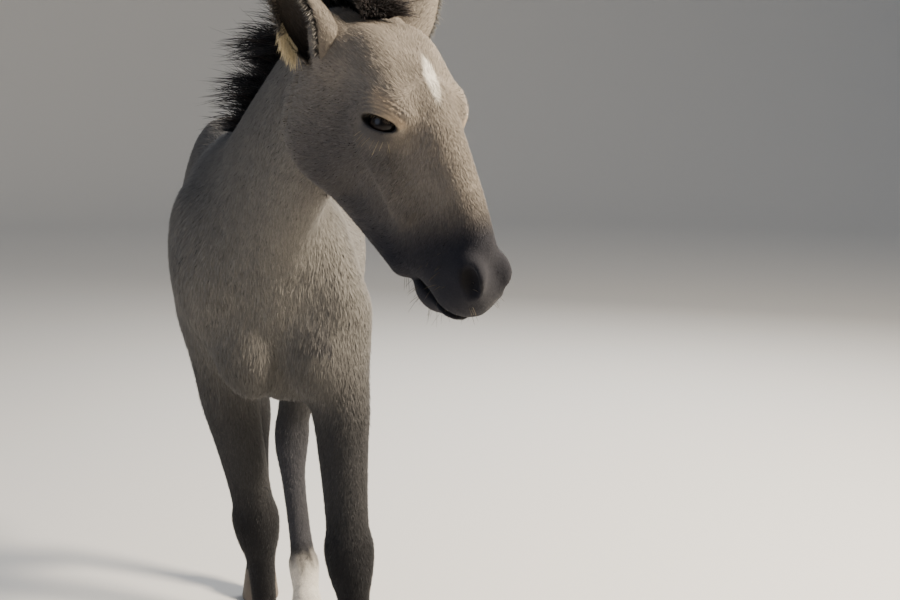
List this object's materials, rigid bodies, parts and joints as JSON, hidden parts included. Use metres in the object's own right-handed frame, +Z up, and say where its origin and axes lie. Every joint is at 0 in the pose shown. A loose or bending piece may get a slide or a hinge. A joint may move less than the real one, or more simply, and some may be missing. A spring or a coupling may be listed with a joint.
{
  "type": "colt",
  "caption": "Young mouse-grey colt standing in mid-stride on its hooves, head turned to its left, with a bushy dark mane and a short tail.",
  "frame": {"origin": "on the floor, under the middle of the whole animal's box", "axes": "+Z up; the colt faces -Y, and its left side is at +X"},
  "size_m": [0.4829, 1.5741, 1.2873],
  "materials": {
    "coat": "short woolly coat, mouse grey, darker on the legs and muzzle",
    "ear_coat": "short coat with pale hair inside the cup",
    "long_hair": "black, fluffy",
    "eye": "wet gloss",
    "hoof": "horn, matt"
  },
  "bodies": {
    "root": {"head": "coat", "neck": "coat", "torso": "coat", "left_foreleg": "coat", "right_foreleg": "coat", "left_hind_leg": "coat", "right_hind_leg": "coat", "left_ear": "ear_coat", "right_ear": "ear_coat", "mane": "long_hair", "forelock": "long_hair", "tail": "long_hair", "left_eye": "eye", "right_eye": "eye", "left_foreleg_hoof": "hoof", "right_foreleg_hoof": "hoof", "left_hind_leg_hoof": "hoof", "right_hind_leg_hoof": "hoof"}
  },
  "joints": []
}
